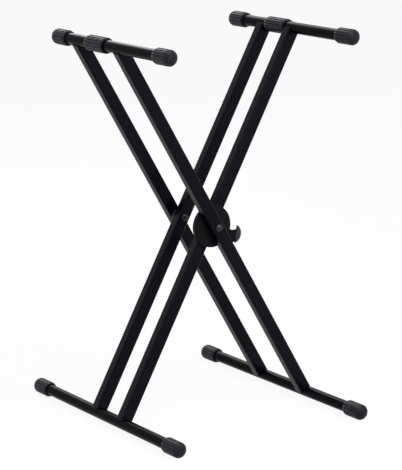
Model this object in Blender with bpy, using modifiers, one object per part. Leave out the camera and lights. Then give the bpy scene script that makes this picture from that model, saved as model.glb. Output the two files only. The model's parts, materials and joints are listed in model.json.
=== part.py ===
"""Double-braced folding X stand for a keyboard.

Two welded frames cross at two pivot bolts. The outer frame runs from the upper left bar to
the right foot bar, the inner frame from the upper right bar to the left foot bar. A toothed
lock plate on the inner front leg turns inside a round housing on the outer front leg, and a
sprung release lever on that housing holds it.

Units are metres, +Z is up, -Y is the front with the lock, and the origin is on the floor
under the middle of the outer foot bar. Each frame is drawn upright about its pivot and then
leans by SPREAD, so a part of a frame is placed along its legs' own upright.
"""

import math

import bmesh
import bpy
from mathutils import Matrix, Vector

# Frame sizes
SPREAD = math.radians(29.35)
REACH_UP = 0.4698
REACH_DOWN = 0.4678
INNER_SPACING = 0.1042
LEG_GAP = 0.009

# Bars: how far each one reaches from the middle between the legs, caps included
OUTER_TOP_FRONT = 0.288
OUTER_TOP_BACK = 0.176
INNER_TOP_FRONT = 0.280
INNER_TOP_BACK = 0.178
OUTER_FOOT_FRONT = 0.304
OUTER_FOOT_BACK = 0.320
INNER_FOOT_FRONT = 0.286
INNER_FOOT_BACK = 0.318
BAR_RADIUS = 0.0125
BAR_WALL = 0.0015

# Legs: rectangular tube with rounded corners
LEG_WIDTH = 0.028
LEG_DEPTH = 0.023
LEG_WALL = 0.0015
LEG_CORNER = 0.003
COPE_DROP = 0.005

# Rubber end caps and sleeves
CAP_RADIUS = 0.0172
CAP_LENGTH = 0.056
CAP_DOME = 0.0095
CAP_END_WALL = 0.006
CAP_MOUTH_TAPER = 0.006
RIB_COUNT = 16
RIB_DEPTH = 0.0017
RIB_LAND = math.radians(11.0)
SLEEVE_LENGTH = 0.072
SLEEVE_TAPER = 0.007
SLEEVE_LIP = 0.0015

# Pivot bolts, bushes, washers and nuts
BOLT_RADIUS = 0.004
BOLT_HEAD_RADIUS = 0.0085
BOLT_HEAD_HEIGHT = 0.0046
BOLT_TAIL = 0.002
BUSH_WALL = 0.002
WASHER_RADIUS = 0.0095
WASHER_THICK = 0.0015
NUT_RADIUS = 0.0075
NUT_HEIGHT = 0.0065
SPACER_RADIUS = 0.014

# Lock housing, on the back face of the outer front leg
HOUSING_RADIUS = 0.0468
HOUSING_WALL = 0.0022
HOUSING_RIM = 0.0024
FLANGE_WIDTH = 0.0062
FLANGE_STEP = 0.0008
WINDOW_START = math.radians(-38.0)
WINDOW_END = math.radians(-96.0)
WINDOW_SILL = 0.0001
SCREW_PITCH_RADIUS = 0.021
SCREW_RADIUS = 0.0019
SCREW_HEAD_RADIUS = 0.0032
SCREW_HEAD_HEIGHT = 0.001
SCREW_REACH = 0.0026

# Toothed lock plate, on the front face of the inner front leg
PLATE_RADIUS = 0.030
PLATE_THICK = 0.003
TOOTH_COUNT = 24
TOOTH_DEPTH = 0.0033
FRICTION_WASHER_RADIUS = 0.012
RIVET_PITCH_RADIUS = 0.019
RIVET_RADIUS = 0.002
RIVET_HEAD_RADIUS = 0.0034
RIVET_HEAD_HEIGHT = 0.0008

# Release lever: a steel blade that turns on a pin, with a moulded finger grip
PIN_SIDE = 0.0075
PIN_DOWN = 0.038
PIN_RADIUS = 0.002
PIN_HEAD_RADIUS = 0.0034
PIN_HEAD_THICK = 0.0006
PIN_TAIL_THICK = 0.0010
BLADE_THICK = 0.0025
BLADE_EYE_RADIUS = 0.006
NOSE_ANGLE = math.radians(-48.0)
NOSE_CLEARANCE = 0.0004
GRIP_WIDTH = 0.009
GRIP_CENTRE = (0.0355, -0.0490)
GRIP_RADIUS = 0.0215
GRIP_TIP = math.radians(24)
GRIP_HEEL = math.radians(-106)

# Torsion spring on the lever's pin
SPRING_WIRE = 0.0007
SPRING_COIL_RADIUS = 0.0032
SPRING_PITCH = 0.00132
SPRING_LONG_LEG = 0.0125
SPRING_SHORT_LEG = 0.010
SPRING_HOOK = 0.0022
POST_RADIUS = 0.0012

# Clearances
FIT = 0.0003
RUNNING = 0.0003

# Facets
BAR_SIDES = 28
HOLE_SIDES = 20
HOUSING_SIDES = 56
CORNER_STEPS = 2

# Places worked out from the sizes above
PIVOT_HEIGHT = REACH_DOWN * math.cos(SPREAD) + CAP_RADIUS
LEGS_Y = (OUTER_FOOT_FRONT - OUTER_FOOT_BACK) / 2
INNER_LEG_Y = INNER_SPACING / 2
OUTER_LEG_Y = INNER_LEG_Y + LEG_DEPTH + LEG_GAP
GAP_START = -OUTER_LEG_Y + LEG_DEPTH / 2
GAP_END = GAP_START + LEG_GAP
HOUSING_FRONT = GAP_START + FIT
HOUSING_FLOOR = HOUSING_FRONT + HOUSING_WALL
HOUSING_BACK = GAP_END - RUNNING
PLATE_BACK = GAP_END - FIT
PLATE_FRONT = PLATE_BACK - PLATE_THICK
BLADE_BACK = HOUSING_BACK - PIN_HEAD_THICK - RUNNING
BLADE_FRONT = BLADE_BACK - BLADE_THICK
BLADE_MIDDLE = (BLADE_FRONT + BLADE_BACK) / 2
BUSH_RADIUS = BOLT_RADIUS + FIT + BUSH_WALL
NOSE_RADIUS = PLATE_RADIUS + NOSE_CLEARANCE

PARTS = "keyboard_stand"
CUTTERS = "cutters"


def clear_scene():
    """Removes the scene's objects and makes the two collections."""
    for old in list(bpy.data.objects):
        bpy.data.objects.remove(old, do_unlink=True)
    for name in (PARTS, CUTTERS):
        group = bpy.data.collections.new(name)
        bpy.context.scene.collection.children.link(group)
        yield group


def material(name, colour, roughness, metallic):
    """A Principled BSDF material."""
    made = bpy.data.materials.new(name)
    made.use_nodes = True
    shader = made.node_tree.nodes["Principled BSDF"]
    shader.inputs["Base Color"].default_value = (*colour, 1.0)
    shader.inputs["Roughness"].default_value = roughness
    shader.inputs["Metallic"].default_value = metallic
    return made


def finished(name, mesh, group, finish=None, smooth=True):
    """Links a mesh as a named object, with sharp edges kept sharp."""
    thing = bpy.data.objects.new(name, mesh)
    group.objects.link(thing)
    if finish is not None:
        mesh.materials.clear()
        mesh.materials.append(finish)
    if smooth:
        mesh.shade_smooth()
        mesh.set_sharp_from_angle(angle=math.radians(32))
    return thing


def placed(thing, parent, location=(0, 0, 0), rotation=(0, 0, 0)):
    """Parents a thing to an empty and places it there."""
    thing.parent = parent
    thing.location = location
    thing.rotation_euler = rotation
    return thing


def mesh_of(thing):
    """The welded mesh of an object with its modifiers or curve settings applied."""
    bpy.context.view_layer.update()
    mesh = bpy.data.meshes.new_from_object(thing.evaluated_get(bpy.context.evaluated_depsgraph_get()))
    shape = bmesh.new()
    shape.from_mesh(mesh)
    bmesh.ops.remove_doubles(shape, verts=shape.verts, dist=1e-6)
    bmesh.ops.recalc_face_normals(shape, faces=shape.faces)
    shape.to_mesh(mesh)
    shape.free()
    bpy.data.objects.remove(thing, do_unlink=True)
    return mesh


def turned(profile, sides):
    """Revolves a closed outline of (radius, height) points about Z."""
    mesh = bpy.data.meshes.new("turned")
    edges = [(i, (i + 1) % len(profile)) for i in range(len(profile))]
    if profile[0][0] == 0 and profile[-1][0] == 0:
        edges.pop()
    mesh.from_pydata([(radius, 0, height) for radius, height in profile], edges, [])
    thing = bpy.data.objects.new("turned", mesh)
    bpy.context.scene.collection.objects.link(thing)
    screw = thing.modifiers.new("Turn", "SCREW")
    screw.axis = "Z"
    screw.steps = sides
    screw.render_steps = sides
    screw.use_merge_vertices = True
    screw.merge_threshold = 0.00001
    return mesh_of(thing)


def plate(outlines, thickness):
    """Extrudes flat outlines in X and Y, holes included, to a thickness centred on Z."""
    curve = bpy.data.curves.new("plate", "CURVE")
    curve.dimensions = "2D"
    curve.fill_mode = "BOTH"
    curve.extrude = thickness / 2
    for outline in outlines:
        spline = curve.splines.new("POLY")
        spline.points.add(len(outline) - 1)
        for point, (x, y) in zip(spline.points, outline):
            point.co = (x, y, 0, 1)
        spline.use_cyclic_u = True
    thing = bpy.data.objects.new("plate", curve)
    bpy.context.scene.collection.objects.link(thing)
    return mesh_of(thing)


def wire(points, radius):
    """A round wire with filled ends along a list of points."""
    curve = bpy.data.curves.new("wire", "CURVE")
    curve.dimensions = "3D"
    curve.bevel_depth = radius
    curve.bevel_resolution = 1
    curve.use_fill_caps = True
    spline = curve.splines.new("POLY")
    spline.points.add(len(points) - 1)
    for point, place in zip(spline.points, points):
        point.co = (*place, 1)
    thing = bpy.data.objects.new("wire", curve)
    bpy.context.scene.collection.objects.link(thing)
    return mesh_of(thing)


def loft(rings):
    """Joins rings of the same count of points with faces and closes both ends."""
    shape = bmesh.new()
    loops = [[shape.verts.new(point) for point in ring] for ring in rings]
    for low, high in zip(loops, loops[1:]):
        count = len(low)
        for i in range(count):
            shape.faces.new((low[i], low[(i + 1) % count], high[(i + 1) % count], high[i]))
    shape.faces.new(loops[0])
    shape.faces.new(loops[-1])
    bmesh.ops.recalc_face_normals(shape, faces=shape.faces)
    mesh = bpy.data.meshes.new("loft")
    shape.to_mesh(mesh)
    shape.free()
    return mesh


def rounded_rectangle(width, depth, radius):
    """Outline points of a rectangle with round corners."""
    points = []
    corners = ((1, 1, 0), (-1, 1, 90), (-1, -1, 180), (1, -1, 270))
    for side_x, side_y, start in corners:
        for step in range(CORNER_STEPS + 1):
            angle = math.radians(start + 90 * step / CORNER_STEPS)
            x = side_x * (width / 2 - radius) + radius * math.cos(angle)
            y = side_y * (depth / 2 - radius) + radius * math.sin(angle)
            points.append((x, y))
    return points


def arc(centre, radius, start, end, steps):
    """Points of an arc between two angles, both ends included."""
    angles = [start + (end - start) * i / steps for i in range(steps + 1)]
    return [(centre[0] + radius * math.cos(a), centre[1] + radius * math.sin(a)) for a in angles]


def polar(radius, angle):
    """A point at a radius and an angle about the fold pivot."""
    return (radius * math.cos(angle), radius * math.sin(angle))


def round_clear(radius, sides=HOLE_SIDES):
    """The corner radius of a hole with that many sides that clears a round piece."""
    return (radius + FIT) / math.cos(math.pi / sides)


def cut(target, cutter, operation="DIFFERENCE"):
    """Cuts a part with a cutter, or joins it, exactly."""
    cutter.hide_render = True
    cutter.display_type = "WIRE"
    change = target.modifiers.new(cutter.name, "BOOLEAN")
    change.operation = operation
    change.solver = "EXACT"
    change.object = cutter


def soften(target, width, segments=2, angle=40):
    """Rounds a part's sharp edges."""
    bevel = target.modifiers.new("Rounded edges", "BEVEL")
    bevel.width = width
    bevel.segments = segments
    bevel.limit_method = "ANGLE"
    bevel.angle_limit = math.radians(angle)
    bevel.use_clamp_overlap = True


class Stand:
    """Builds the stand's parts into the parts collection."""

    # A piece turned about Z points along the stand with one of these turns
    TO_FRONT = math.radians(90)
    TO_BACK = math.radians(-90)

    def __init__(self, parts, cutters):
        self.parts = parts
        self.cutters = cutters
        self.gloss_paint = material("gloss black paint", (0.010, 0.010, 0.013), 0.22, 0.0)
        self.leg_paint = material("satin black paint", (0.016, 0.016, 0.022), 0.42, 0.0)
        self.rubber = material("black rubber", (0.020, 0.020, 0.025), 0.72, 0.0)
        self.plastic = material("black plastic", (0.014, 0.014, 0.018), 0.48, 0.0)
        self.grip_plastic = material("grey plastic", (0.055, 0.055, 0.060), 0.45, 0.0)
        self.nylon = material("black nylon", (0.020, 0.020, 0.022), 0.5, 0.0)
        self.dark_steel = material("dark steel", (0.17, 0.17, 0.18), 0.35, 1.0)
        self.zinc = material("zinc plated steel", (0.60, 0.60, 0.62), 0.3, 1.0)
        self.outer = self.axis("outer_frame_axis", (0, LEGS_Y, PIVOT_HEIGHT), -SPREAD)
        self.inner = self.axis("inner_frame_axis", (0, LEGS_Y, PIVOT_HEIGHT), SPREAD)
        self.lever = self.axis("lever_axis", (PIN_SIDE, BLADE_MIDDLE, -PIN_DOWN), 0)
        self.lever.parent = self.outer
        self.cap_meshes = {}

    def axis(self, name, location, turn):
        """An empty on a joint's axis, turned about the axis."""
        empty = bpy.data.objects.new(name, None)
        empty.location = location
        empty.rotation_euler = (0, turn, 0)
        self.parts.objects.link(empty)
        return empty

    def part(self, name, mesh, finish, parent, location=(0, 0, 0), rotation=(0, 0, 0)):
        """A finished part on one of the axes."""
        return placed(finished(name, mesh, self.parts, finish), parent, location, rotation)

    def cutter(self, name, mesh, parent, location=(0, 0, 0), rotation=(0, 0, 0)):
        """A guide solid that cuts a part on the same axis."""
        return placed(finished(name, mesh, self.cutters, smooth=False), parent, location, rotation)

    def drill(self, target, radius, start, end, x=0.0, z=0.0, sides=HOLE_SIDES):
        """Drills a round hole along Y, from start to end, through a part of a frame."""
        mesh = turned([(0, 0), (round_clear(radius, sides), 0), (round_clear(radius, sides), end - start),
                       (0, end - start)], sides)
        mesh.transform(Matrix.Rotation(math.pi / (2 * sides), 4, "Z"))
        name = f"{target.name} hole {len(target.modifiers) + 1}"
        cut(target, self.cutter(name, mesh, target.parent, (x, start, z), (self.TO_BACK, 0, 0)))

    def bar(self, name, frame, height, front, back):
        """A round steel bar along Y, whose ends stand inside its caps."""
        start = -front + CAP_END_WALL + FIT
        end = back - CAP_END_WALL - FIT
        bore = BAR_RADIUS - BAR_WALL
        profile = [(BAR_RADIUS, end - start), (BAR_RADIUS, 0), (bore, 0), (bore, end - start)]
        return self.part(name, turned(profile, BAR_SIDES), self.gloss_paint, frame, (0, start, height),
                         (self.TO_BACK, 0, 0))

    def ribbed_ring(self, height, envelope):
        """Points round a ribbed section, cut back to the envelope's radius where that is smaller."""
        ring = []
        pitch = 2 * math.pi / RIB_COUNT
        crest = CAP_RADIUS / math.cos(RIB_LAND / 2)
        for rib in range(RIB_COUNT):
            for turn, radius in ((-RIB_LAND / 2, crest), (RIB_LAND / 2, crest), (pitch / 2, CAP_RADIUS - RIB_DEPTH)):
                angle = rib * pitch + turn
                reach = min(radius, envelope)
                ring.append(Vector((reach * math.cos(angle), reach * math.sin(angle), height)))
        return ring

    def cap_mesh(self):
        """A ribbed cap about Z: mouth at the bottom, domed end on top, as a solid without its bore."""
        mouth = BAR_RADIUS + 0.45 * (CAP_RADIUS - BAR_RADIUS)
        full = CAP_RADIUS * 1.1
        rings = [self.ribbed_ring(0, mouth), self.ribbed_ring(CAP_MOUTH_TAPER, full),
                 self.ribbed_ring(CAP_LENGTH - CAP_DOME, full)]
        for degrees in (26, 50, 72):
            angle = math.radians(degrees)
            height = CAP_LENGTH - CAP_DOME * (1 - math.sin(angle))
            rings.append(self.ribbed_ring(height, CAP_RADIUS * math.cos(angle) ** 0.8))
        return loft(rings)

    def sleeve_mesh(self):
        """A ribbed sleeve about Z, tapered at the bottom and lipped on top, without its bore."""
        mouth = BAR_RADIUS + 0.45 * (CAP_RADIUS - BAR_RADIUS)
        lip = CAP_RADIUS - RIB_DEPTH / 2
        full = CAP_RADIUS * 1.1
        return loft([self.ribbed_ring(0, mouth), self.ribbed_ring(SLEEVE_TAPER, full),
                     self.ribbed_ring(SLEEVE_LENGTH - SLEEVE_LIP, full), self.ribbed_ring(SLEEVE_LENGTH, lip)])

    def bored(self, thing, depth):
        """Bores a cap or sleeve from its mouth so that it slides over the bar."""
        radius = round_clear(BAR_RADIUS, BAR_SIDES)
        mesh = turned([(0, -FIT), (radius, -FIT), (radius, depth), (0, depth)], BAR_SIDES)
        cut(thing, self.cutter(f"{thing.name} bore", mesh, thing.parent, thing.location, thing.rotation_euler))

    def cap(self, name, frame, lean, height, end, facing):
        """A ribbed rubber cap on a bar's end; one rib faces straight down, and one straight up."""
        mouth = end - CAP_LENGTH if facing == self.TO_BACK else end + CAP_LENGTH
        cap = self.part(name, self.cap_mesh(), self.rubber, frame, (0, mouth, height), (facing, -lean, 0))
        self.bored(cap, CAP_LENGTH - CAP_END_WALL)

    def leg(self, name, frame, y):
        """A rectangular leg, coped at both ends to the round bars that it is welded to."""
        top = REACH_UP - COPE_DROP
        bottom = COPE_DROP - REACH_DOWN
        outside = rounded_rectangle(LEG_WIDTH, LEG_DEPTH, LEG_CORNER)
        inside = rounded_rectangle(LEG_WIDTH - 2 * LEG_WALL, LEG_DEPTH - 2 * LEG_WALL, LEG_CORNER - LEG_WALL)
        leg = self.part(name, plate([outside, inside], top - bottom), self.leg_paint, frame,
                        (0, y, (top + bottom) / 2))
        for end, height in (("top", REACH_UP), ("bottom", -REACH_DOWN)):
            radius = round_clear(BAR_RADIUS, BAR_SIDES)
            mesh = turned([(0, -LEG_DEPTH), (radius, -LEG_DEPTH), (radius, LEG_DEPTH), (0, LEG_DEPTH)], BAR_SIDES)
            cut(leg, self.cutter(f"{name} {end} cope", mesh, frame, (0, y, height), (self.TO_BACK, 0, 0)))
        return leg

    def frame(self, label, frame, lean, leg_y, top_reach, foot_reach):
        """One welded frame: two bars, two legs, four caps and the sleeve on its top bar."""
        for bar, height, (front, back) in (("top", REACH_UP, top_reach), ("foot", -REACH_DOWN, foot_reach)):
            self.bar(f"{label}_{bar}_bar", frame, height, front, back)
            self.cap(f"{label}_{bar}_cap_front", frame, lean, height, -front, self.TO_FRONT)
            self.cap(f"{label}_{bar}_cap_rear", frame, lean, height, back, self.TO_BACK)
        sleeve = self.part(f"{label}_top_sleeve", self.sleeve_mesh(), self.rubber, frame,
                           (0, SLEEVE_LENGTH / 2, REACH_UP), (self.TO_FRONT, -lean, 0))
        self.bored(sleeve, SLEEVE_LENGTH + FIT)
        front_leg = self.leg(f"{label}_front_leg", frame, -leg_y)
        rear_leg = self.leg(f"{label}_rear_leg", frame, leg_y)
        hole = BOLT_RADIUS if label == "outer" else BUSH_RADIUS
        for leg, y in ((front_leg, -leg_y), (rear_leg, leg_y)):
            self.drill(leg, hole, y - LEG_DEPTH, y + LEG_DEPTH)
        return front_leg

    def pivot(self, label, start):
        """A domed bolt along Y through two legs, with bush, washer and nut; start is its first face."""
        inner_face = start + LEG_DEPTH + LEG_GAP if label == "front" else start
        grip = 2 * LEG_DEPTH + LEG_GAP
        washer_start = grip + FIT
        nut_start = washer_start + WASHER_THICK + FIT
        tail = nut_start + NUT_HEIGHT + BOLT_TAIL
        dome = [(BOLT_HEAD_RADIUS * math.cos(a), -FIT - 0.001 - (BOLT_HEAD_HEIGHT - 0.001) * math.sin(a))
                for a in (math.radians(d) for d in (0, 22, 45, 66))]
        chamfer = BOLT_RADIUS / 4
        profile = [(0, -FIT - BOLT_HEAD_HEIGHT), *reversed(dome), (BOLT_HEAD_RADIUS, -FIT), (BOLT_RADIUS, -FIT),
                   (BOLT_RADIUS, tail - chamfer), (BOLT_RADIUS - chamfer, tail), (0, tail)]
        self.part(f"{label}_pivot_bolt", turned(profile, HOLE_SIDES), self.dark_steel, self.outer,
                  (0, start, 0), (self.TO_BACK, 0, 0))
        self.ring(f"{label}_pivot_washer", BOLT_RADIUS, WASHER_RADIUS, start + washer_start, WASHER_THICK,
                  self.zinc, self.outer)
        self.nut(f"{label}_pivot_nut", start + nut_start)
        self.ring(f"{label}_pivot_bush", BOLT_RADIUS, BUSH_RADIUS, inner_face, LEG_DEPTH, self.nylon, self.inner)

    def ring(self, name, inside, outside, start, thick, finish, frame):
        """A washer, bush or spacer along Y that clears a round piece inside it."""
        bore = round_clear(inside)
        profile = [(outside, thick), (outside, 0), (bore, 0), (bore, thick)]
        return self.part(name, turned(profile, HOLE_SIDES), finish, frame, (0, start, 0), (self.TO_BACK, 0, 0))

    def nut(self, name, start):
        """A hexagon nut with a round nylon-lock collar."""
        bore = round_clear(BOLT_RADIUS)
        body = NUT_HEIGHT * 0.72
        nut = self.part(name, plate([arc((0, 0), NUT_RADIUS, 0, math.radians(300), 5)], body), self.zinc,
                        self.outer, (0, start + body / 2, 0), (self.TO_BACK, 0, 0))
        collar = turned([(0, 0), (NUT_RADIUS * 0.8, 0), (NUT_RADIUS * 0.8, NUT_HEIGHT - 0.001),
                         (NUT_RADIUS * 0.66, NUT_HEIGHT), (0, NUT_HEIGHT)], HOLE_SIDES)
        cut(nut, self.cutter(f"{name} collar", collar, self.outer, (0, start, 0), (self.TO_BACK, 0, 0)), "UNION")
        hole = turned([(0, -FIT), (bore, -FIT), (bore, NUT_HEIGHT + FIT), (0, NUT_HEIGHT + FIT)], HOLE_SIDES)
        cut(nut, self.cutter(f"{name} thread", hole, self.outer, (0, start, 0), (self.TO_BACK, 0, 0)))

    def lock_housing(self, leg):
        """The round housing: stepped face, rim, lever window, spring post and its fixings in the leg."""
        depth = HOUSING_BACK - HOUSING_FRONT
        step_radius = HOUSING_RADIUS - FLANGE_WIDTH
        pocket = HOUSING_RADIUS - HOUSING_RIM
        profile = [(0, 0), (step_radius - FLANGE_STEP, 0), (step_radius, FLANGE_STEP),
                   (HOUSING_RADIUS - FLANGE_STEP, FLANGE_STEP), (HOUSING_RADIUS, 2 * FLANGE_STEP),
                   (HOUSING_RADIUS, depth), (pocket, depth), (pocket, HOUSING_WALL), (0, HOUSING_WALL)]
        housing = self.part("lock_housing", turned(profile, HOUSING_SIDES), self.plastic, self.outer,
                            (0, HOUSING_FRONT, 0), (self.TO_BACK, 0, 0))
        outside = arc((0, 0), HOUSING_RADIUS * 1.1, WINDOW_START, WINDOW_END, 8)
        inside = arc((0, 0), pocket - HOUSING_RIM, WINDOW_END, WINDOW_START, 8)
        window = plate([outside + inside], depth)
        window_y = HOUSING_FLOOR + WINDOW_SILL + depth / 2
        cut(housing, self.cutter("lever window", window, self.outer, (0, window_y, 0), (self.TO_FRONT, 0, 0)))
        post_top = BLADE_FRONT - HOUSING_FLOOR - RUNNING
        post = turned([(0, -HOUSING_WALL / 2), (POST_RADIUS, -HOUSING_WALL / 2), (POST_RADIUS, post_top),
                       (0, post_top)], 12)
        post_x = PIN_SIDE - SPRING_SHORT_LEG + 2 * POST_RADIUS
        post_z = -PIN_DOWN - SPRING_COIL_RADIUS + SPRING_WIRE / 2 + FIT + POST_RADIUS
        cut(housing, self.cutter("spring post", post, self.outer, (post_x, HOUSING_FLOOR, post_z),
                                 (self.TO_BACK, 0, 0)), "UNION")
        self.drill(housing, BOLT_RADIUS, HOUSING_FRONT - FIT, HOUSING_BACK)
        self.drill(housing, PIN_RADIUS, HOUSING_FRONT - FIT, HOUSING_FLOOR + FIT, PIN_SIDE, -PIN_DOWN, 16)
        self.drill(leg, PIN_RADIUS, GAP_START - 2 * LEG_WALL, HOUSING_FLOOR, PIN_SIDE, -PIN_DOWN, 16)
        for label, z in (("upper", SCREW_PITCH_RADIUS), ("lower", -SCREW_PITCH_RADIUS)):
            head_top = HOUSING_FLOOR - FIT
            head_base = head_top - SCREW_HEAD_HEIGHT
            self.drill(housing, SCREW_RADIUS, HOUSING_FRONT - FIT, HOUSING_BACK, 0, z, 16)
            self.drill(housing, SCREW_HEAD_RADIUS, head_base - FIT, HOUSING_BACK, 0, z, 16)
            self.drill(leg, SCREW_RADIUS, GAP_START - 2 * LEG_WALL, HOUSING_FLOOR, 0, z, 16)
            shank = head_base - GAP_START + SCREW_REACH
            height = shank + SCREW_HEAD_HEIGHT
            profile = [(0, 0), (SCREW_RADIUS, 0), (SCREW_RADIUS, shank), (SCREW_HEAD_RADIUS, shank),
                       (SCREW_HEAD_RADIUS, height), (0, height)]
            self.part(f"housing_screw_{label}", turned(profile, 16), self.zinc, self.outer,
                      (0, GAP_START - SCREW_REACH, z), (self.TO_BACK, 0, 0))

    def lock_plate(self, leg):
        """The toothed steel disc, riveted to the inner front leg."""
        pitch = 2 * math.pi / TOOTH_COUNT
        root = PLATE_RADIUS - TOOTH_DEPTH
        outline = []
        for tooth in range(TOOTH_COUNT):
            for radius, share in ((root, -0.34), (PLATE_RADIUS, -0.19), (PLATE_RADIUS, 0.19), (root, 0.34)):
                outline.append(polar(radius, (tooth + share) * pitch))
        disc = self.part("lock_plate", plate([outline], PLATE_THICK), self.dark_steel, self.inner,
                         (0, (PLATE_FRONT + PLATE_BACK) / 2, 0), (self.TO_BACK, 0, 0))
        self.drill(disc, BOLT_RADIUS, PLATE_FRONT - FIT, PLATE_BACK + FIT)
        for label, z in (("upper", RIVET_PITCH_RADIUS), ("lower", -RIVET_PITCH_RADIUS)):
            self.drill(disc, RIVET_RADIUS, PLATE_FRONT - FIT, PLATE_BACK + FIT, 0, z, 16)
            self.drill(leg, RIVET_RADIUS, GAP_END - FIT, GAP_END + 2 * LEG_WALL, 0, z, 16)
            head_start = PLATE_FRONT - FIT - RIVET_HEAD_HEIGHT
            grip = PLATE_FRONT - FIT - head_start
            tail = GAP_END + LEG_WALL + FIT - head_start
            end = tail + RIVET_HEAD_HEIGHT
            profile = [(0, 0), (RIVET_HEAD_RADIUS * 0.75, 0), (RIVET_HEAD_RADIUS, grip), (RIVET_RADIUS, grip),
                       (RIVET_RADIUS, tail), (RIVET_HEAD_RADIUS * 0.9, tail), (RIVET_HEAD_RADIUS * 0.9, end),
                       (0, end)]
            self.part(f"plate_rivet_{label}", turned(profile, 16), self.zinc, self.inner,
                      (0, head_start, z), (self.TO_BACK, 0, 0))
        self.ring("friction_washer", BOLT_RADIUS, FRICTION_WASHER_RADIUS, HOUSING_FLOOR + FIT,
                  PLATE_FRONT - HOUSING_FLOOR - 2 * FIT, self.nylon, self.outer)

    def blade_outline(self):
        """The lever blade seen from the front, about the fold pivot: eye, nose arm and handle."""
        pin = (PIN_SIDE, -PIN_DOWN)
        nose_half = math.radians(3.0)
        root_half = math.radians(5.5)
        nose_root = NOSE_RADIUS + TOOTH_DEPTH + 0.001
        nose = [polar(nose_root, NOSE_ANGLE - root_half), polar(NOSE_RADIUS, NOSE_ANGLE - nose_half),
                polar(NOSE_RADIUS, NOSE_ANGLE + nose_half), polar(nose_root, NOSE_ANGLE + root_half)]
        handle = [(0.0310, -0.0290), (0.0331, -0.0329), (0.0395, -0.0418), (0.0455, -0.0442),
                  (0.0485, -0.0490), (0.0455, -0.0575), (0.0390, -0.0640), (0.0325, -0.0668),
                  (0.0260, -0.0655), (0.0185, -0.0560)]
        eye = arc(pin, BLADE_EYE_RADIUS, math.radians(-75), math.radians(-235), 8)
        return nose + handle + eye

    def release_lever(self):
        """The steel blade on the lever's axis, and the moulded grip over its end."""
        to_lever = (-PIN_SIDE, PIN_DOWN)
        outline = [(x + to_lever[0], z + to_lever[1]) for x, z in self.blade_outline()]
        blade = self.part("lever_blade", plate([outline], BLADE_THICK), self.leg_paint, self.lever,
                          (0, 0, 0), (self.TO_FRONT, 0, 0))
        hole = turned([(0, -BLADE_THICK), (round_clear(PIN_RADIUS, 16), -BLADE_THICK),
                       (round_clear(PIN_RADIUS, 16), BLADE_THICK), (0, BLADE_THICK)], 16)
        cut(blade, self.cutter("lever blade hole", hole, self.lever, (0, 0, 0), (self.TO_FRONT, 0, 0)))
        eyelet = turned([(0, -BLADE_THICK), (round_clear(SPRING_WIRE / 2, 12), -BLADE_THICK),
                         (round_clear(SPRING_WIRE / 2, 12), BLADE_THICK), (0, BLADE_THICK)], 12)
        tip = self.spring_tip()
        cut(blade, self.cutter("spring eyelet", eyelet, self.lever, (tip.x, 0, tip.z), (self.TO_FRONT, 0, 0)))
        outside = arc(GRIP_CENTRE, GRIP_RADIUS, GRIP_HEEL, GRIP_TIP, 14)
        inside = [(0.0528, -0.0413), (0.0478, -0.0434), (0.0436, -0.0480), (0.0398, -0.0545),
                  (0.0362, -0.0615), (0.0322, -0.0672)]
        grip_outline = [(x + to_lever[0], z + to_lever[1]) for x, z in outside + inside]
        grip = self.part("lever_grip", plate([grip_outline], GRIP_WIDTH), self.grip_plastic, self.lever,
                         (0, 0, 0), (self.TO_FRONT, 0, 0))
        soften(grip, 0.0016, 2, 35)
        slot = self.cutter("grip slot", plate([self.spread_outline(outline)], BLADE_THICK + 2 * FIT), self.lever,
                           (0, 0, 0), (self.TO_FRONT, 0, 0))
        cut(grip, slot)

    def spread_outline(self, outline):
        """An outline moved out by the fit all round, each corner along its own bisector."""
        area = sum(a[0] * b[1] - b[0] * a[1] for a, b in zip(outline, outline[1:] + outline[:1]))
        side = 1 if area > 0 else -1
        moved = []
        for i, here in enumerate(outline):
            before = Vector(here) - Vector(outline[i - 1])
            after = Vector(outline[(i + 1) % len(outline)]) - Vector(here)
            normal = Vector((before.y, -before.x)).normalized() + Vector((after.y, -after.x)).normalized()
            reach = FIT * 2 / normal.length
            moved.append(tuple(Vector(here) + normal.normalized() * side * reach))
        return moved

    def lever_pin(self):
        """The headed pin that the lever turns on, riveted inside the outer front leg."""
        head_back = HOUSING_BACK
        head_front = head_back - PIN_HEAD_THICK
        tail_back = GAP_START - LEG_WALL - FIT
        start = tail_back - PIN_TAIL_THICK
        profile = [(0, 0), (PIN_HEAD_RADIUS, 0), (PIN_HEAD_RADIUS, tail_back - start),
                   (PIN_RADIUS, tail_back - start), (PIN_RADIUS, head_front - start),
                   (PIN_HEAD_RADIUS, head_front - start), (PIN_HEAD_RADIUS, head_back - start),
                   (0, head_back - start)]
        self.part("lever_pin", turned(profile, 16), self.zinc, self.outer, (PIN_SIDE, start, -PIN_DOWN),
                  (self.TO_BACK, 0, 0))

    def nose_direction(self):
        """The direction from the pin to the nose, in the plane of the frame."""
        return (Vector(polar(NOSE_RADIUS, NOSE_ANGLE)) - Vector((PIN_SIDE, -PIN_DOWN))).normalized()

    def spring_tip(self):
        """Where the spring's long leg ends, seen from the pin."""
        along = self.nose_direction()
        across = Vector((along.y, -along.x))
        tip = across * SPRING_COIL_RADIUS + along * SPRING_LONG_LEG
        return Vector((tip.x, 0, tip.y))

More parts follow.
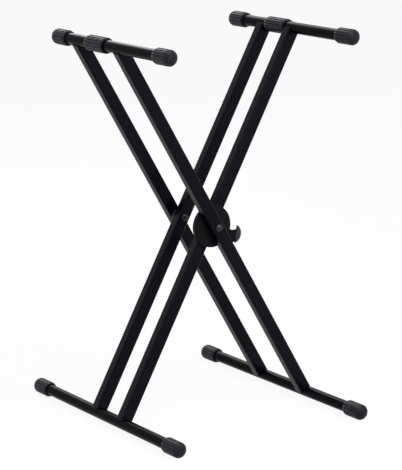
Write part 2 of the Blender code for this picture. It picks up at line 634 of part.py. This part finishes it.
    def lever_spring(self):
        """The torsion spring round the pin: one leg under the housing's post, the other in the blade."""
        along = self.nose_direction()
        end_turn = math.atan2(along.y, along.x) - math.pi / 2 + 2 * math.pi
        start_turn = -math.pi / 2
        front = HOUSING_FLOOR + FIT + SPRING_WIRE / 2
        steps = 16
        points = [(-SPRING_SHORT_LEG, front, -SPRING_COIL_RADIUS)]
        for i in range(steps + 1):
            turn = start_turn + (end_turn - start_turn) * i / steps
            rise = SPRING_PITCH * (turn - start_turn) / (2 * math.pi)
            points.append((SPRING_COIL_RADIUS * math.cos(turn), front + rise, SPRING_COIL_RADIUS * math.sin(turn)))
        tip = self.spring_tip()
        points.append((tip.x, points[-1][1], tip.z))
        points.append((tip.x, points[-1][1] + SPRING_HOOK, tip.z))
        self.part("lever_spring", wire(points, SPRING_WIRE / 2), self.zinc, self.outer, (PIN_SIDE, 0, -PIN_DOWN))

    def build(self):
        """Every part of the stand."""
        outer_leg = self.frame("outer", self.outer, -SPREAD, OUTER_LEG_Y, (OUTER_TOP_FRONT, OUTER_TOP_BACK),
                               (OUTER_FOOT_FRONT, OUTER_FOOT_BACK))
        inner_leg = self.frame("inner", self.inner, SPREAD, INNER_LEG_Y, (INNER_TOP_FRONT, INNER_TOP_BACK),
                               (INNER_FOOT_FRONT, INNER_FOOT_BACK))
        self.pivot("front", -OUTER_LEG_Y - LEG_DEPTH / 2)
        self.pivot("rear", INNER_LEG_Y - LEG_DEPTH / 2)
        self.ring("rear_spacer", BOLT_RADIUS, SPACER_RADIUS, INNER_LEG_Y + LEG_DEPTH / 2 + FIT,
                  LEG_GAP - 2 * FIT, self.nylon, self.outer)
        self.lock_housing(outer_leg)
        self.lock_plate(inner_leg)
        self.release_lever()
        self.lever_pin()
        self.lever_spring()


Stand(*clear_scene()).build()
bpy.context.view_layer.update()
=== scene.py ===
"""The looks of the folding X stand: paint, rubber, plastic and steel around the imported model."""

import json
import math

import bmesh
import bpy
import numpy as np
from mathutils import Matrix, Vector


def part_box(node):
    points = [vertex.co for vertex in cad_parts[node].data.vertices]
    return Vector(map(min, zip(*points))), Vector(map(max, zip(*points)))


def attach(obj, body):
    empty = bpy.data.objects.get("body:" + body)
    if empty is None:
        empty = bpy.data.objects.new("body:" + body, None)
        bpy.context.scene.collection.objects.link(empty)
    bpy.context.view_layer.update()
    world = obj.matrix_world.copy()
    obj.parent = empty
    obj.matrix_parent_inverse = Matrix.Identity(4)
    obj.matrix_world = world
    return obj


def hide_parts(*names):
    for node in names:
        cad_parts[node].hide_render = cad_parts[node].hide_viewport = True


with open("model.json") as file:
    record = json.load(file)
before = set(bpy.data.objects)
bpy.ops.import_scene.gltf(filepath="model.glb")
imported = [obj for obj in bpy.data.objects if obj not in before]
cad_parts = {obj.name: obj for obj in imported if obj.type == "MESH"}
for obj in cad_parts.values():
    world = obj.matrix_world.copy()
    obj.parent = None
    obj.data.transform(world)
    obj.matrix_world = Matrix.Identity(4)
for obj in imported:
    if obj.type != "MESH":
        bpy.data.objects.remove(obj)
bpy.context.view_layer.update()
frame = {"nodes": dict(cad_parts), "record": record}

# Sizes of the stand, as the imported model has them
SPREAD = math.radians(29.35)
REACH_UP = 0.4698
REACH_DOWN = 0.4678
BAR_RADIUS = 0.0125
BAR_WALL = 0.0015
LEG_WIDTH = 0.028
LEG_DEPTH = 0.023
LEG_CORNER = 0.003
LEG_WALL = 0.0015
LEG_LEAST_REACH = 0.005
BEAD_LEAST_REACH = 0.0052
CAP_RADIUS = 0.0172
CAP_DOME = 0.0095
DOME_POWER = 0.72
CAP_WALL = 0.006
MOUTH_TAPER = 0.006
RIB_COUNT = 16
RIB_DEPTH = 0.0015
LAND_START = 0.45
GROOVE_SLOPE = 1.15
GROOVE_POWER = 1.3
LEGS_Y = -0.008
PIVOT_HEIGHT = REACH_DOWN * math.cos(SPREAD) + CAP_RADIUS
INNER_LEG_Y = 0.0521
OUTER_LEG_Y = 0.0841
FRAMES = {"outer": (-SPREAD, OUTER_LEG_Y), "inner": (SPREAD, INNER_LEG_Y)}
MOUTH_RADIUS = 0.0146
SLEEVE_TAPER = 0.007
SLEEVE_LIP = 0.0012
RUBBER_GAP = 0.0003
RUBBER_CREST = 0.0002
BAR_EDGE = 0.0003
SEAT_GAP = 0.0001
BEAD_RADIUS = 0.0009
BEAD_RIPPLES = 30
BEAD_SWELL = 0.10

# How finely the surfaces are drawn
BAR_COLUMNS = 96
RIB_COLUMNS = 12
CORNER_POINTS = 9
FLAT_POINTS = 14
RIPPLE_POINTS = 8
BEAD_COLUMNS = 10
GRIP_ROWS = 64
GRIP_COLUMNS = 32

# The lever's grip, seen from the front with the outer frame upright
GRIP_CENTRE = (0.0355, -0.0490)
GRIP_RADIUS = 0.0215
GRIP_TIP = math.radians(24)
GRIP_HEEL = math.radians(-106)
GRIP_PALM = ((0.0, 0.0), (0.35, 0.0036), (0.7, 0.0012), (1.0, 0.0))
GRIP_END = 0.02
GRIP_FULLNESS = 0.25
GRIP_SQUARENESS = 0.7
PALM_BLUR = 6

# The photograph's view, found from the outlines of the bars and legs
CAMERA_PLACE = Vector((-2.503, -3.888, 1.4354))
CAMERA_AZIMUTH = math.radians(-32.99)
CAMERA_ELEVATION = math.radians(12.73)
CAMERA_ROLL = math.radians(-1.18)
FOCAL_PIXELS = 2158.5
LONG_SIDE = 470
SENSOR_WIDTH = 36

# Noise stays mostly between these values, and grain is this deep
NOISE_LOW = 0.3
NOISE_HIGH = 0.7
CLOUD_START = 0.35
CLOUD_END = 0.7
BLOOM_END = 0.75
GRAIN_DEPTH = 0.0002


# Materials

def shader_of(name, colour, roughness, metallic=0.0, specular=0.5):
    """A new material, its node tree and its Principled shader."""
    made = bpy.data.materials.new(name)
    made.use_nodes = True
    shader = made.node_tree.nodes["Principled BSDF"]
    shader.inputs["Base Color"].default_value = (*colour, 1)
    shader.inputs["Roughness"].default_value = roughness
    shader.inputs["Metallic"].default_value = metallic
    shader.inputs["Specular IOR Level"].default_value = specular
    return made, made.node_tree, shader


def noise(tree, scale, detail=4.0, stretch=(1, 1, 1)):
    """Noise on Object coordinates; returns its factor socket."""
    place = tree.nodes.new("ShaderNodeTexCoord")
    mapping = tree.nodes.new("ShaderNodeMapping")
    mapping.inputs["Scale"].default_value = stretch
    texture = tree.nodes.new("ShaderNodeTexNoise")
    texture.inputs["Scale"].default_value = scale
    texture.inputs["Detail"].default_value = detail
    tree.links.new(place.outputs["Object"], mapping.inputs["Vector"])
    tree.links.new(mapping.outputs["Vector"], texture.inputs["Vector"])
    return texture.outputs["Fac"]


def ramp(tree, fac, stops):
    """A colour ramp over (position, colour) stops."""
    node = tree.nodes.new("ShaderNodeValToRGB")
    for element, (place, colour) in zip(node.color_ramp.elements, (stops[0], stops[-1])):
        element.position = place
        element.color = (*colour, 1)
    for place, colour in stops[1:-1]:
        node.color_ramp.elements.new(place).color = (*colour, 1)
    tree.links.new(fac, node.inputs["Fac"])
    return node.outputs["Color"]


def spread(tree, fac, low, high):
    """Maps a factor to a range of values."""
    node = tree.nodes.new("ShaderNodeMapRange")
    node.inputs["From Min"].default_value = NOISE_LOW
    node.inputs["From Max"].default_value = NOISE_HIGH
    node.inputs["To Min"].default_value = low
    node.inputs["To Max"].default_value = high
    tree.links.new(fac, node.inputs["Value"])
    return node.outputs["Result"]


def clouded(tree, shader, fac, dark, light, end=CLOUD_END):
    """Base colour that drifts between two shades with a factor."""
    shade = ramp(tree, fac, ((CLOUD_START, dark), (end, light)))
    tree.links.new(shade, shader.inputs["Base Color"])


def grained(tree, shader, fac, strength):
    """A fine grain in the surface, from a factor."""
    node = tree.nodes.new("ShaderNodeBump")
    node.inputs["Strength"].default_value = strength
    node.inputs["Distance"].default_value = GRAIN_DEPTH
    tree.links.new(fac, node.inputs["Height"])
    tree.links.new(node.outputs["Normal"], shader.inputs["Normal"])


def paint(name, dark, light, rough_low, rough_high, peel, specular):
    """Powder coat: slight cloudiness, uneven gloss and a fine orange peel."""
    made, tree, shader = shader_of(name, dark, rough_low, specular=specular)
    clouded(tree, shader, noise(tree, 9.0, 5.0), dark, light)
    tree.links.new(spread(tree, noise(tree, 60.0, 6.0), rough_low, rough_high), shader.inputs["Roughness"])
    grained(tree, shader, noise(tree, 900.0, 3.0), peel)
    return made


def rubber():
    """Matt moulded rubber with a dusty bloom."""
    made, tree, shader = shader_of("moulded_rubber", (0.007, 0.007, 0.013), 0.4, specular=0.17)
    bloom = noise(tree, 45.0, 8.0)
    clouded(tree, shader, bloom, (0.004, 0.004, 0.008), (0.010, 0.010, 0.018), BLOOM_END)
    tree.links.new(spread(tree, noise(tree, 120.0, 4.0), 0.32, 0.46), shader.inputs["Roughness"])
    grained(tree, shader, noise(tree, 1500.0, 2.0), 0.25)
    return made


def plastic(name, dark, light, rough_low, rough_high, specular):
    """Moulded plastic with a fine spark-eroded grain."""
    made, tree, shader = shader_of(name, dark, rough_low, specular=specular)
    clouded(tree, shader, noise(tree, 30.0, 6.0), dark, light)
    tree.links.new(spread(tree, noise(tree, 200.0, 4.0), rough_low, rough_high), shader.inputs["Roughness"])
    grained(tree, shader, noise(tree, 2200.0, 2.0), 0.3)
    return made


def steel(name, dark, light, rough_low, rough_high):
    """Drawn or turned steel, faintly brushed."""
    made, tree, shader = shader_of(name, dark, rough_low, 1.0)
    clouded(tree, shader, noise(tree, 80.0, 6.0), dark, light)
    brushed = noise(tree, 400.0, 3.0, (1, 12, 1))
    tree.links.new(spread(tree, brushed, rough_low, rough_high), shader.inputs["Roughness"])
    grained(tree, shader, brushed, 0.08)
    return made


FINISHES = {
    "gloss_paint": paint("gloss_powder_coat", (0.0012, 0.0012, 0.0022), (0.0026, 0.0026, 0.0040),
                         0.20, 0.28, 0.04, 0.028),
    "leg_paint": paint("satin_powder_coat", (0.0012, 0.0010, 0.0030), (0.0026, 0.0022, 0.0056),
                       0.24, 0.32, 0.08, 0.08),
    "rubber": rubber(),
    "black_plastic": plastic("black_moulding", (0.0030, 0.0030, 0.0040), (0.0055, 0.0055, 0.0070),
                             0.20, 0.30, 0.07),
    "grip_plastic": plastic("grey_moulding", (0.018, 0.018, 0.020), (0.030, 0.030, 0.033), 0.30, 0.42, 0.3),
    "nylon": plastic("black_nylon", (0.008, 0.008, 0.009), (0.014, 0.014, 0.015), 0.40, 0.52, 0.3),
    "dark_steel": steel("dark_steel", (0.022, 0.022, 0.025), (0.045, 0.045, 0.050), 0.30, 0.44),
    "zinc": steel("zinc_plate", (0.42, 0.42, 0.44), (0.52, 0.52, 0.54), 0.26, 0.40),
}
SLOT_OF = {row["node"]: row["material_slot"] for row in frame["record"]["subparts"]}
BODY_OF = {node: body for body, nodes in frame["record"]["behaviour"]["bodies"].items() for node in nodes}


# Surfaces

def surface(name, grid, closed_rows=False, cap_start=False, cap_end=False):
    """A mesh over a grid of points (rows, columns, 3). Columns close on themselves; rows close
    when closed_rows is set, and otherwise each end may be closed by a fan about its centre."""
    rows, columns = grid.shape[:2]
    index = np.arange(rows * columns).reshape(rows, columns)
    low = index if closed_rows else index[:-1]
    high = np.roll(index, -1, axis=0) if closed_rows else index[1:]
    quads = np.stack([low, np.roll(low, -1, axis=1), np.roll(high, -1, axis=1), high], -1).reshape(-1, 4)
    points = [grid.reshape(-1, 3)]
    faces = quads.tolist()
    for wanted, ring, turn in ((cap_start, index[0], -1), (cap_end, index[-1], 1)):
        if wanted:
            hub = sum(len(p) for p in points)
            points.append(grid.reshape(-1, 3)[ring].mean(0)[None])
            faces += np.stack([np.full(columns, hub), ring, np.roll(ring, -1)][::1], -1)[:, ::turn].tolist()
    mesh = bpy.data.meshes.new(name)
    mesh.from_pydata(np.concatenate(points).tolist(), [], faces)
    return oriented(mesh)


def oriented(mesh, angle=35):
    """Turns a closed mesh's faces outwards and shades it smooth up to an angle."""
    shape = bmesh.new()
    shape.from_mesh(mesh)
    bmesh.ops.remove_doubles(shape, verts=shape.verts, dist=1e-7)
    bmesh.ops.recalc_face_normals(shape, faces=shape.faces)
    shape.to_mesh(mesh)
    shape.free()
    mesh.shade_smooth()
    mesh.set_sharp_from_angle(angle=math.radians(angle))
    return mesh


def piece(name, mesh, finish, body, nodes=()):
    """A finished piece that rides on a body and stands for CAD nodes."""
    made = bpy.data.objects.new(name, mesh)
    bpy.context.scene.collection.objects.link(made)
    mesh.materials.clear()
    mesh.materials.append(FINISHES[finish])
    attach(made, body)
    if nodes:
        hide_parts(*nodes)
    return made


def leaning(points, lean):
    """Turns points drawn upright about the pivot by the frame's lean, into the stand's place."""
    x, y, z = points[..., 0], points[..., 1], points[..., 2]
    c, s = math.cos(lean), math.sin(lean)
    return np.stack([x * c + z * s, y + LEGS_Y, z * c - x * s + PIVOT_HEIGHT], -1)


def bar_axis(lean, height):
    """The place in x and z of a bar whose axis is that high up its frame's legs."""
    return height * math.sin(lean), PIVOT_HEIGHT + height * math.cos(lean)


def along_y(radius, y, x0, z0):
    """Rows of points round an axis along Y: radius is (rows, columns), y is (rows,)."""
    turn = np.linspace(0, 2 * np.pi, radius.shape[1], endpoint=False)[None]
    return np.stack([x0 + radius * np.cos(turn), np.broadcast_to(y[:, None], radius.shape),
                     z0 + radius * np.sin(turn)], -1)


def span(node):
    """Where a CAD node starts and ends along Y."""
    low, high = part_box(node)
    return low.y, high.y


def round_bar(name, node, lean, height):
    """A tube: the rows run along the outside, over the rounded rim, back along the bore and round again."""
    x0, z0 = bar_axis(lean, height)
    start, end = span(node)
    radius = np.array([BAR_RADIUS - BAR_EDGE, BAR_RADIUS, BAR_RADIUS, BAR_RADIUS - BAR_EDGE,
                       BAR_RADIUS - BAR_WALL, BAR_RADIUS - BAR_WALL])
    y = np.array([start, start + BAR_EDGE, end - BAR_EDGE, end, end, start])
    return surface(name, along_y(np.repeat(radius[:, None], BAR_COLUMNS, 1), y, x0, z0), closed_rows=True)


def rib_radius(turn, envelope):
    """The ribbed section's radius: flat lands where the ribs' cosine wave is high, rounded grooves
    below them that deepen as the wave falls, and all cut back to the envelope's radius."""
    pitch = 2 * np.pi / RIB_COUNT
    wave = np.cos(RIB_COUNT * turn)
    flat = CAP_RADIUS / np.cos((turn + pitch / 2) % pitch - pitch / 2)
    groove = CAP_RADIUS - RIB_DEPTH * np.clip(0.5 - GROOVE_SLOPE * wave, 0, 1) ** GROOVE_POWER
    return np.minimum(np.minimum(flat, np.where(wave > LAND_START, flat, groove))[None], envelope[:, None])


def rubber_cap(name, node, lean, height, facing):
    """A cap: distance from the mouth on one parameter, angle round the bar on the other. The envelope
    grows over the mouth's taper and closes over a quarter-ellipse dome."""
    x0, z0 = bar_axis(lean, height)
    start, end = span(node)
    mouth = start if facing > 0 else end
    length = end - start
    turn = np.linspace(0, 2 * np.pi, RIB_COUNT * RIB_COLUMNS, endpoint=False)
    taper = np.linspace(0, 1, 6)
    dome = np.linspace(0, np.radians(88), 16)
    distance = np.concatenate([MOUTH_TAPER * taper, length - CAP_DOME * (1 - np.sin(dome))])
    full = CAP_RADIUS + RUBBER_CREST
    mouth_envelope = MOUTH_RADIUS + (full - MOUTH_RADIUS) * np.sin(taper * np.pi / 2)
    dome_envelope = full * np.cos(dome) ** DOME_POWER
    radius = rib_radius(turn, np.concatenate([mouth_envelope, dome_envelope]))
    bore = np.full((2, radius.shape[1]), BAR_RADIUS + RUBBER_GAP)
    y = mouth + facing * np.concatenate([[length - CAP_WALL, 0.0], distance])
    grid = along_y(np.concatenate([bore, radius]), y, x0, z0)
    return surface(name, grid, cap_start=True, cap_end=True)


def ribbed_sleeve(name, node, lean):
    """A sleeve: the envelope tapers in at the rear and ends in a small rounded lip at the front."""
    x0, z0 = bar_axis(lean, REACH_UP)
    front, rear = span(node)
    turn = np.linspace(0, 2 * np.pi, RIB_COUNT * RIB_COLUMNS, endpoint=False)
    taper = np.linspace(0, 1, 7)
    lip = np.linspace(0, 1, 4)
    y = np.concatenate([rear - SLEEVE_TAPER * taper, front + SLEEVE_LIP * (1 - lip), [front, rear]])
    full = CAP_RADIUS + RUBBER_CREST
    envelope = np.concatenate([MOUTH_RADIUS + (full - MOUTH_RADIUS) * np.sin(taper * np.pi / 2),
                               full - SLEEVE_LIP * (1 - np.sqrt(1 - lip ** 2))])
    radius = rib_radius(turn, envelope)
    bore = np.full((2, radius.shape[1]), BAR_RADIUS + RUBBER_GAP)
    return surface(name, along_y(np.concatenate([radius, bore]), y, x0, z0), closed_rows=True)


def leg_section(inset):
    """Points round the leg's section: a rectangle with round corners, drawn in by the inset."""
    radius = LEG_CORNER - inset
    quarter = np.linspace(0, np.pi / 2, CORNER_POINTS)
    corners = ((1, 1, 0), (-1, 1, 1), (-1, -1, 2), (1, -1, 3))
    parts = [np.stack([sx * (LEG_WIDTH / 2 - inset - radius) + radius * np.cos(quarter + k * np.pi / 2),
                       sy * (LEG_DEPTH / 2 - inset - radius) + radius * np.sin(quarter + k * np.pi / 2)], -1)
             for sx, sy, k in corners]
    flats = []
    for a, b in zip(parts, parts[1:] + parts[:1]):
        share = np.linspace(0, 1, FLAT_POINTS)[1:-1, None]
        flats.append(np.concatenate([a, a[-1] + share * (b[0] - a[-1])]))
    return np.concatenate(flats)


def coped_leg(name, lean, y0):
    """A leg: its section carried from the foot bar to the top bar and back along the inside. Each
    end lies on the bar's circle: the root of its radius squared less the place across, squared."""
    seat = BAR_RADIUS + SEAT_GAP
    rows = []
    for inset, ends in ((0.0, (-1, 1)), (LEG_WALL, (1, -1))):
        section = leg_section(inset)
        reach = np.sqrt(np.maximum(seat ** 2 - section[:, 0] ** 2, LEG_LEAST_REACH ** 2))
        for side in ends:
            z = REACH_UP - reach if side > 0 else reach - REACH_DOWN
            rows.append(np.stack([section[:, 0], y0 + section[:, 1], z], -1))
    return surface(name, leaning(np.stack(rows), lean), closed_rows=True)


def weld_bead(name, lean, y0, height, side):
    """A weld bead: a small tube carried round the leg's end, where its outside meets the bar. Its
    radius swells and shrinks with a sine of the way along."""
    section = leg_section(BEAD_RADIUS * 0.4)
    closed = np.concatenate([section, section[:1]])
    steps = np.concatenate([[0.0], np.cumsum(np.linalg.norm(np.diff(closed, axis=0), axis=1))])
    count = BEAD_RIPPLES * RIPPLE_POINTS
    along = np.linspace(0, steps[-1], count, endpoint=False)
    path = np.stack([np.interp(along, steps, closed[:, k]) for k in (0, 1)], -1)
    path[:, 0] = np.clip(path[:, 0], -BAR_RADIUS, BAR_RADIUS)
    seat = BAR_RADIUS + BEAD_RADIUS * 0.3
    reach = np.sqrt(np.maximum(seat ** 2 - path[:, 0] ** 2, BEAD_LEAST_REACH ** 2))
    swell = BEAD_RADIUS * (1 + BEAD_SWELL * np.sin(np.arange(count) * 2 * np.pi * BEAD_RIPPLES / count))
    turn = np.linspace(0, 2 * np.pi, BEAD_COLUMNS, endpoint=False)
    outward = path / np.linalg.norm(path, axis=1)[:, None]
    ring = swell[:, None] * np.cos(turn)[None]
    x = path[:, None, 0] + outward[:, None, 0] * ring
    y = y0 + path[:, None, 1] + outward[:, None, 1] * ring
    z = height - side * reach[:, None] + swell[:, None] * np.sin(turn)[None]
    return surface(name, leaning(np.stack([x, y, z], -1), lean), closed_rows=True)


def finger_grip(name):
    """The lever's moulded grip: between its outer arc and its palm line, the half-width goes to nothing at
    tip and heel, and each section across is a rounded box whose thickness follows the half-width."""
    front, rear = span("lever_grip")
    share = 0.5 - 0.5 * np.cos(np.linspace(GRIP_END, 1 - GRIP_END, GRIP_ROWS) * np.pi)
    angle = GRIP_HEEL + (GRIP_TIP - GRIP_HEEL) * share
    outer = np.array(GRIP_CENTRE) + GRIP_RADIUS * np.stack([np.cos(angle), np.sin(angle)], -1)
    heel, tip = outer[0], outer[-1]
    chord = (tip - heel) / np.linalg.norm(tip - heel)
    inward = np.array([-chord[1], chord[0]])
    knots = np.array(GRIP_PALM)
    bulge = np.interp(share, knots[:, 0], knots[:, 1])
    window = 2 * PALM_BLUR + 1
    bulge = np.convolve(np.pad(bulge, PALM_BLUR, "edge"), np.ones(window) / window, "valid")
    palm = heel + (tip - heel) * share[:, None] + inward * bulge[:, None]
    middle = (outer + palm) / 2
    half = (outer - palm) / 2
    width = np.linalg.norm(half, axis=1)
    depth = (rear - front) / 2 * (width / width.max()) ** GRIP_FULLNESS
    turn = np.linspace(0, 2 * np.pi, GRIP_COLUMNS, endpoint=False)
    across = np.sign(np.cos(turn)) * np.abs(np.cos(turn)) ** GRIP_SQUARENESS
    through = np.sign(np.sin(turn)) * np.abs(np.sin(turn)) ** GRIP_SQUARENESS
    flat = middle[:, None] + half[:, None] * across[None, :, None]
    y = (front + rear) / 2 - LEGS_Y + depth[:, None] * through[None]
    grid = leaning(np.stack([flat[..., 0], y, flat[..., 1]], -1), -SPREAD)
    return surface(name, grid, cap_start=True, cap_end=True)


def refined(node, bevel=0.0, angle=35):
    """A merged copy of a CAD node's mesh, shaded smooth, with its sharp edges just broken."""
    mesh = frame["nodes"][node].data.copy()
    mesh.name = f"{node}_fine"
    oriented(mesh, angle)
    made = piece(f"{node}_fine", mesh, SLOT_OF[node], BODY_OF[node], [node])
    if bevel:
        edge = made.modifiers.new("Broken edges", "BEVEL")
        edge.width = bevel
        edge.segments = 2
        edge.limit_method = "ANGLE"
        edge.angle_limit = math.radians(40)
        edge.use_clamp_overlap = True
        edge.harden_normals = True
    return made


# The stand

def dress_frame(label, lean, leg_y):
    """One frame's tubes, welds, caps and sleeve."""
    body = f"{label}_frame"
    for bar, height in (("top", REACH_UP), ("foot", -REACH_DOWN)):
        node = f"{label}_{bar}_bar"
        name = f"{node}_tube"
        piece(name, round_bar(name, node, lean, height), "gloss_paint", body, [node])
        for end, facing in (("front", -1), ("rear", 1)):
            node = f"{label}_{bar}_cap_{end}"
            name = f"{node}_rubber"
            piece(name, rubber_cap(name, node, lean, height, facing), "rubber", body, [node])
    node = f"{label}_top_sleeve"
    name = f"{node}_rubber"
    piece(name, ribbed_sleeve(name, node, lean), "rubber", body, [node])
    for end, y in (("front", -leg_y), ("rear", leg_y)):
        node = f"{label}_{end}_leg"
        piece(f"{node}_tube", coped_leg(f"{node}_tube", lean, y), "leg_paint", body, [node])
        for seat, height, side in (("top", REACH_UP, 1), ("foot", -REACH_DOWN, -1)):
            name = f"{label}_{end}_{seat}_weld"
            piece(name, weld_bead(name, lean, y, height, side), "leg_paint", body)


for frame_label, sizes in FRAMES.items():
    dress_frame(frame_label, *sizes)

for node_name in ("front_pivot_bolt", "rear_pivot_bolt", "front_pivot_nut", "rear_pivot_nut"):
    refined(node_name, 0.0003)
for node_name in ("front_pivot_washer", "rear_pivot_washer", "friction_washer", "rear_spacer",
                  "front_pivot_bush", "rear_pivot_bush", "housing_screw_upper", "housing_screw_lower",
                  "plate_rivet_upper", "plate_rivet_lower", "lever_pin"):
    refined(node_name, 0.0001)
refined("lock_housing", 0.0003)
refined("lock_plate", 0.0002)
refined("lever_blade", 0.0003)
refined("lever_spring", angle=60)
piece("lever_grip_pad", finger_grip("lever_grip_pad"), "grip_plastic", "release_lever", ["lever_grip"])


# Floor, light and camera

FLOOR_SIZE = 24
FLOOR_DROP = 0.0005
FLOOR_COLOUR = (0.9, 0.9, 0.9)
FLOOR_GLOW = 0.92
FILL_COLOUR = (0.93, 0.95, 1.0)
FILL_STRENGTH = 0.35
MIDDLE = (0, 0, 0.5)


def seen_directly(tree, path):
    """Is Camera Ray, Is Glossy Ray and Is Transmission Ray added up."""
    total = path.outputs["Is Camera Ray"]
    for kind in ("Is Glossy Ray", "Is Transmission Ray"):
        node = tree.nodes.new("ShaderNodeMath")
        node.operation = "ADD"
        node.use_clamp = True
        tree.links.new(total, node.inputs[0])
        tree.links.new(path.outputs[kind], node.inputs[1])
        total = node.outputs[0]
    return total


def stage():
    """A pale floor that keeps the shadow, and a white background behind it."""
    bpy.ops.mesh.primitive_plane_add(size=FLOOR_SIZE, location=(0, 0, -FLOOR_DROP))
    floor = bpy.context.object
    floor.name = "floor"
    material = bpy.data.materials.new("pale_floor")
    material.use_nodes = True
    tree = material.node_tree
    tree.nodes.clear()
    out = tree.nodes.new("ShaderNodeOutputMaterial")
    matt = tree.nodes.new("ShaderNodeBsdfDiffuse")
    matt.inputs["Color"].default_value = (*FLOOR_COLOUR, 1)
    glow = tree.nodes.new("ShaderNodeEmission")
    glow.inputs["Strength"].default_value = 1.0
    blend = tree.nodes.new("ShaderNodeMixShader")
    path = tree.nodes.new("ShaderNodeLightPath")
    share = tree.nodes.new("ShaderNodeMath")
    share.operation = "MULTIPLY"
    share.inputs[1].default_value = FLOOR_GLOW
    tree.links.new(seen_directly(tree, path), share.inputs[0])
    tree.links.new(share.outputs[0], blend.inputs["Fac"])
    tree.links.new(matt.outputs[0], blend.inputs[1])
    tree.links.new(glow.outputs[0], blend.inputs[2])
    tree.links.new(blend.outputs[0], out.inputs["Surface"])
    floor.data.materials.append(material)


def surroundings():
    """White where the camera, a reflection or clear glass looks at it, plain soft light elsewhere."""
    world = bpy.data.worlds.new("studio")
    bpy.context.scene.world = world
    world.use_nodes = True
    tree = world.node_tree
    tree.nodes.clear()
    out = tree.nodes.new("ShaderNodeOutputWorld")
    fill = tree.nodes.new("ShaderNodeBackground")
    fill.inputs["Color"].default_value = (*FILL_COLOUR, 1)
    fill.inputs["Strength"].default_value = FILL_STRENGTH
    white = tree.nodes.new("ShaderNodeBackground")
    white.inputs["Color"].default_value = (1, 1, 1, 1)
    white.inputs["Strength"].default_value = 1.0
    blend = tree.nodes.new("ShaderNodeMixShader")
    path = tree.nodes.new("ShaderNodeLightPath")
    tree.links.new(seen_directly(tree, path), blend.inputs["Fac"])
    tree.links.new(fill.outputs[0], blend.inputs[1])
    tree.links.new(white.outputs[0], blend.inputs[2])
    tree.links.new(blend.outputs[0], out.inputs["Surface"])


def lamp(name, place, aim, size, watts):
    """A square soft box aimed at a point."""
    light = bpy.data.lights.new(name, "AREA")
    light.size = size
    light.energy = watts
    made = bpy.data.objects.new(name, light)
    made.location = place
    made.rotation_euler = (Vector(aim) - Vector(place)).to_track_quat("-Z", "Y").to_euler()
    bpy.context.scene.collection.objects.link(made)


def camera():
    """The photograph's camera."""
    data = bpy.data.cameras.new("camera")
    data.sensor_fit = "AUTO"
    data.sensor_width = SENSOR_WIDTH
    data.lens = FOCAL_PIXELS * data.sensor_width / LONG_SIDE
    made = bpy.data.objects.new("camera", data)
    bpy.context.scene.collection.objects.link(made)
    a, e, r = CAMERA_AZIMUTH, CAMERA_ELEVATION, CAMERA_ROLL
    back = Vector((math.sin(a) * math.cos(e), -math.cos(a) * math.cos(e), math.sin(e)))
    right = (-back).cross(Vector((0, 0, 1))).normalized()
    up = right.cross(-back)
    right, up = right * math.cos(r) + up * math.sin(r), up * math.cos(r) - right * math.sin(r)
    turn = Matrix((right, up, back)).transposed()
    made.matrix_world = Matrix.Translation(CAMERA_PLACE) @ turn.to_4x4()
    bpy.context.scene.camera = made


stage()
surroundings()
lamp("overhead_box", (0.1, -1.3, 2.7), (0, 0, 0.4), 1.6, 48)
lamp("back_box", (0.9, 2.9, 2.3), MIDDLE, 1.6, 38)
lamp("front_box", (1.2, -2.9, 1.5), MIDDLE, 1.2, 18)
lamp("camera_box", (-2.3, -3.6, 2.6), MIDDLE, 1.0, 16)
camera()
bpy.context.scene.view_settings.view_transform = "Standard"
